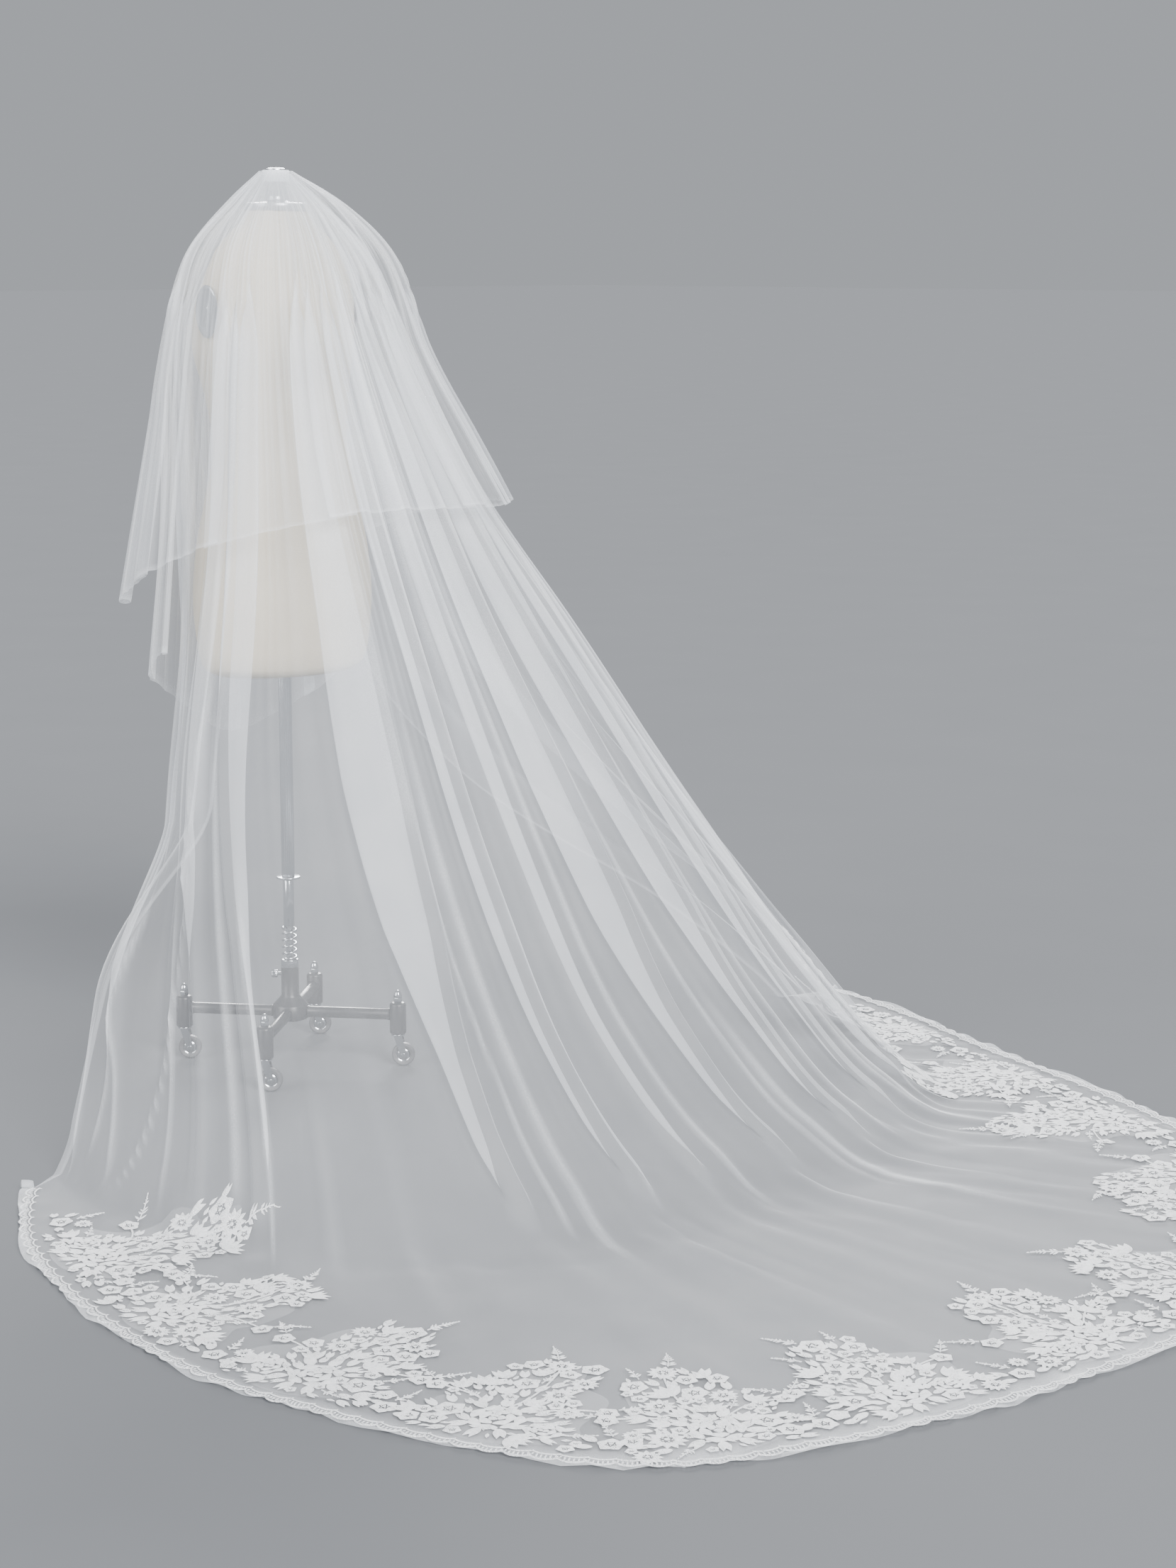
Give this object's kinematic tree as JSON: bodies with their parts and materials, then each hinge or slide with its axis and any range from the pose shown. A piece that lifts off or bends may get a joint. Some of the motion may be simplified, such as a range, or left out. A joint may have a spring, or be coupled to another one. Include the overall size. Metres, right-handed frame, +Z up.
{
  "type": "bridal veil on dress form",
  "caption": "Two-tier cathedral-length bridal veil in white tulle with a floral lace hem, worn on a limbless dress form that stands on a castered pole base",
  "frame": {"origin": "middle of the bounding box of the whole object, on the floor", "axes": "+Z up; the form faces -Y and the train runs out to +Y; the wearer's left is +X"},
  "size_m": [2.0494, 2.043, 1.497],
  "materials": {
    "tulle": "sheer soft net, cool white",
    "lace": "matt embroidered lace, white",
    "form_fabric": "smooth matt knit, warm ivory",
    "silver": "satin silver",
    "chrome": "polished",
    "black_metal": "satin black",
    "wheel_plastic": "dark grey"
  },
  "bodies": {
    "veil_form_and_stand": {"arm_plate_left": "silver", "arm_plate_right": "silver", "base_arm_1": "black_metal", "base_arm_2": "black_metal", "base_arm_3": "black_metal", "base_arm_4": "black_metal", "base_hub": "black_metal", "caster_nut_1": "chrome", "caster_nut_2": "chrome", "caster_nut_3": "chrome", "caster_nut_4": "chrome", "caster_sleeve_1": "black_metal", "caster_sleeve_2": "black_metal", "caster_sleeve_3": "black_metal", "caster_sleeve_4": "black_metal", "form_torso": "form_fabric", "hub_thumbscrew": "chrome", "lace_border": "lace", "lace_spray_01": "lace", "lace_spray_02": "lace", "lace_spray_03": "lace", "lace_spray_04": "lace", "lace_spray_05": "lace", "lace_spray_06": "lace", "lace_spray_07": "lace", "lace_spray_08": "lace", "lace_spray_09": "lace", "lace_spray_10": "lace", "lace_spray_11": "lace", "lace_spray_12": "lace", "lace_spray_13": "lace", "neck_cap": "silver", "pole_flange": "chrome", "pole_lower": "chrome", "pole_upper": "chrome", "spring": "chrome", "spring_collar": "chrome", "veil_heading": "tulle", "veil_long_tier": "tulle", "veil_short_tier_back": "tulle", "veil_short_tier_front": "tulle"},
    "fork_1": {"caster_fork_1": "chrome"},
    "wheel_1": {"caster_wheel_1": "wheel_plastic"},
    "fork_2": {"caster_fork_2": "chrome"},
    "wheel_2": {"caster_wheel_2": "wheel_plastic"},
    "fork_3": {"caster_fork_3": "chrome"},
    "wheel_3": {"caster_wheel_3": "wheel_plastic"},
    "fork_4": {"caster_fork_4": "chrome"},
    "wheel_4": {"caster_wheel_4": "wheel_plastic"}
  },
  "joints": [
    {"name": "caster_1_swivel", "type": "hinge", "parent": "veil_form_and_stand", "child": "fork_1", "pos_m": [0.15855, -0.70475, 0.056], "axis": [0, 0, 1], "continuous": true},
    {"name": "caster_1_wheel_spin", "type": "hinge", "parent": "fork_1", "child": "wheel_1", "pos_m": [0.15234, -0.69854, 0.01962], "axis": [0.7071, 0.7071, 0], "continuous": true},
    {"name": "caster_2_swivel", "type": "hinge", "parent": "veil_form_and_stand", "child": "fork_2", "pos_m": [0.12422, -0.96554, 0.056], "axis": [0, 0, 1], "continuous": true},
    {"name": "caster_2_wheel_spin", "type": "hinge", "parent": "fork_2", "child": "wheel_2", "pos_m": [0.11801, -0.95933, 0.01962], "axis": [0.7071, 0.7071, 0], "continuous": true},
    {"name": "caster_3_swivel", "type": "hinge", "parent": "veil_form_and_stand", "child": "fork_3", "pos_m": [-0.13657, -0.93121, 0.056], "axis": [0, 0, 1], "continuous": true},
    {"name": "caster_3_wheel_spin", "type": "hinge", "parent": "fork_3", "child": "wheel_3", "pos_m": [-0.14278, -0.925, 0.01962], "axis": [0.7071, 0.7071, 0], "continuous": true},
    {"name": "caster_4_swivel", "type": "hinge", "parent": "veil_form_and_stand", "child": "fork_4", "pos_m": [-0.10224, -0.67042, 0.056], "axis": [0, 0, 1], "continuous": true},
    {"name": "caster_4_wheel_spin", "type": "hinge", "parent": "fork_4", "child": "wheel_4", "pos_m": [-0.10845, -0.66421, 0.01962], "axis": [0.7071, 0.7071, 0], "continuous": true}
  ]
}
